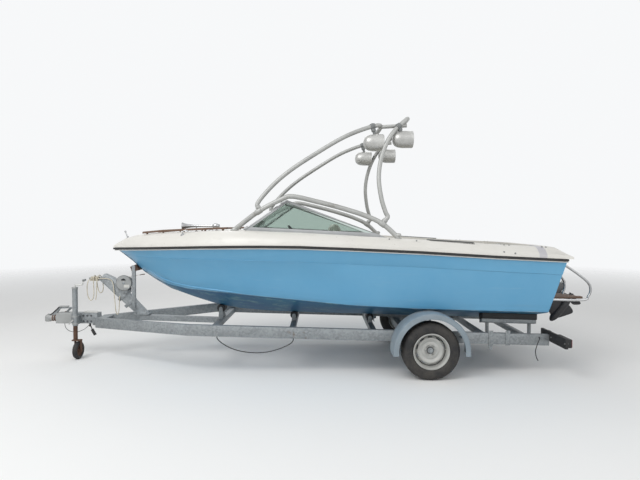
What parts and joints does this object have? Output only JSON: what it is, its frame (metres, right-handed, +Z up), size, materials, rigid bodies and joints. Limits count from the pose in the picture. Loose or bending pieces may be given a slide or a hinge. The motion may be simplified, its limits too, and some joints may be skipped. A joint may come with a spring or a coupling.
{
  "type": "sterndrive runabout on a braked trailer",
  "caption": "Closed-bow speedboat with a tube tower, windshield and raised sterndrive, resting on bunks and keel rollers of a braked trailer.",
  "frame": {"origin": "ground level under the middle of the whole length and beam", "axes": "X towards the bow and coupling, Y to port, Z up"},
  "size_m": [6.3326, 2.09, 2.7004],
  "materials": {
    "black_rubber": "moulded rubber",
    "cable_black": "cable sheath",
    "drive_black": "satin black",
    "engine_grey": "plain block",
    "fender_grey": "blue-grey sheet",
    "frame_aluminium": "satin",
    "galvanised": "hot-dip galvanised",
    "gelcoat_cream": "gloss gelcoat",
    "hull_blue": "gloss gelcoat, worn",
    "liner_cream": "moulded liner",
    "rope_cream": "twisted cord",
    "rusty_steel": "rusty steel",
    "stainless": "polished tube",
    "teak": "dry teak",
    "tinted_glass": "green tint",
    "tower_paint": "weathered white paint",
    "tyre_rubber": "worn tread",
    "vinyl": "vinyl cover",
    "webbing": "flat webbing",
    "wheel_silver": "cream-silver paint"
  },
  "bodies": {
    "boat_and_trailer": {"axle": "galvanised", "brake_cable": "cable_black", "breakaway_cable": "cable_black", "bunk_frame": "galvanised", "bunk_pad_port": "black_rubber", "bunk_pad_starboard": "black_rubber", "cockpit_liner": "liner_cream", "coupling": "galvanised", "cross_member_aft": "galvanised", "cross_member_fore": "galvanised", "cross_member_mid": "galvanised", "deck": "gelcoat_cream", "drive_mount": "drive_black", "engine_block": "engine_grey", "fender_port": "fender_grey", "fender_starboard": "fender_grey", "glass_front": "tinted_glass", "glass_side_port": "tinted_glass", "glass_side_starboard": "tinted_glass", "grab_rail_port": "teak", "grab_rail_starboard": "teak", "horn": "stainless", "hull": "hull_blue", "jockey_tube": "galvanised", "light_bar_port": "black_rubber", "light_bar_starboard": "black_rubber", "light_cable": "cable_black", "rope_hank": "rope_cream", "rope_tail": "rope_cream", "rub_rail": "black_rubber", "seat_port": "vinyl", "seat_starboard": "vinyl", "side_rail_port": "galvanised", "side_rail_starboard": "galvanised", "swim_platform_port": "stainless", "swim_platform_starboard": "stainless", "tower_base_port": "tower_paint", "tower_base_starboard": "tower_paint", "tower_front_hoop": "tower_paint", "tower_rear_hoop": "tower_paint", "trailer_plug": "cable_black", "winch_post": "galvanised", "winch_strap": "webbing", "windshield_frame": "frame_aluminium"},
    "wheel_port": {"rim_port": "wheel_silver", "tyre_port": "tyre_rubber"},
    "wheel_starboard": {"rim_starboard": "wheel_silver", "tyre_starboard": "tyre_rubber"},
    "jockey_leg": {"jockey_stem": "rusty_steel"},
    "jockey_swivel": {"jockey_fork": "rusty_steel"},
    "jockey_roller": {"jockey_wheel": "black_rubber"},
    "winch_spool": {"winch_drum": "galvanised"},
    "roller_fore": {"keel_roller_fore": "black_rubber"},
    "roller_mid": {"keel_roller_mid": "black_rubber"},
    "roller_aft": {"keel_roller_aft": "black_rubber"},
    "helm": {"steering_wheel": "black_rubber"},
    "steering_ring": {"drive_gimbal": "drive_black"},
    "outdrive": {"drive_leg": "drive_black"},
    "screw": {"propeller": "drive_black"},
    "hatch": {"engine_hatch": "gelcoat_cream"}
  },
  "joints": [
    {"name": "wheel_port_spin", "type": "hinge", "parent": "boat_and_trailer", "child": "wheel_port", "pos_m": [-1.1937, 0.8575, 0.29], "axis": [0, 1, 0], "continuous": true},
    {"name": "wheel_starboard_spin", "type": "hinge", "parent": "boat_and_trailer", "child": "wheel_starboard", "pos_m": [-1.1937, -0.8575, 0.29], "axis": [0, 1, 0], "continuous": true},
    {"name": "jockey_lift", "type": "slide", "parent": "boat_and_trailer", "child": "jockey_leg", "axis": [0, 0, 1], "range_m": [-0.1, 0.15]},
    {"name": "jockey_turn", "type": "hinge", "parent": "jockey_leg", "child": "jockey_swivel", "pos_m": [2.7463, 0.13, 0.222], "axis": [0, 0, 1], "continuous": true},
    {"name": "jockey_spin", "type": "hinge", "parent": "jockey_swivel", "child": "jockey_roller", "pos_m": [2.7163, 0.13, 0.1], "axis": [1, 0, 0], "continuous": true},
    {"name": "winch_spin", "type": "hinge", "parent": "boat_and_trailer", "child": "winch_spool", "pos_m": [2.2063, 0, 0.87], "axis": [0, 1, 0], "continuous": true},
    {"name": "roller_fore_spin", "type": "hinge", "parent": "boat_and_trailer", "child": "roller_fore", "pos_m": [1.07255, 0, 0.57316], "axis": [0, 1, 0], "continuous": true},
    {"name": "roller_mid_spin", "type": "hinge", "parent": "boat_and_trailer", "child": "roller_mid", "pos_m": [0.21759, 0, 0.4944], "axis": [0, 1, 0], "continuous": true},
    {"name": "roller_aft_spin", "type": "hinge", "parent": "boat_and_trailer", "child": "roller_aft", "pos_m": [-0.67287, 0, 0.46743], "axis": [0, 1, 0], "continuous": true},
    {"name": "drive_steer", "type": "hinge", "parent": "boat_and_trailer", "child": "steering_ring", "pos_m": [-2.5657, 0, 0.8], "axis": [0, 0, 1], "range_deg": [-28, 28]},
    {"name": "drive_tilt", "type": "hinge", "parent": "steering_ring", "child": "outdrive", "pos_m": [-2.6137, 0, 0.8], "axis": [0, -1, 0], "range_deg": [0, 50]},
    {"name": "propeller_spin", "type": "hinge", "parent": "outdrive", "child": "screw", "pos_m": [-3.01557, 0, 0.65664], "axis": [-0.6428, 0, 0.766], "continuous": true},
    {"name": "helm_turn", "type": "hinge", "parent": "boat_and_trailer", "child": "helm", "pos_m": [0.2013, -0.385, 1.395], "axis": [0.8, 0, -0.6], "range_deg": [-504, 504]},
    {"name": "hatch_lift", "type": "hinge", "parent": "boat_and_trailer", "child": "hatch", "pos_m": [-2.2927, 0, 1.3153], "axis": [0, -1, 0], "range_deg": [0, 70]}
  ],
  "couplings": [
    {"joint": "helm_turn", "follows": "drive_steer", "ratio": 18}
  ]
}
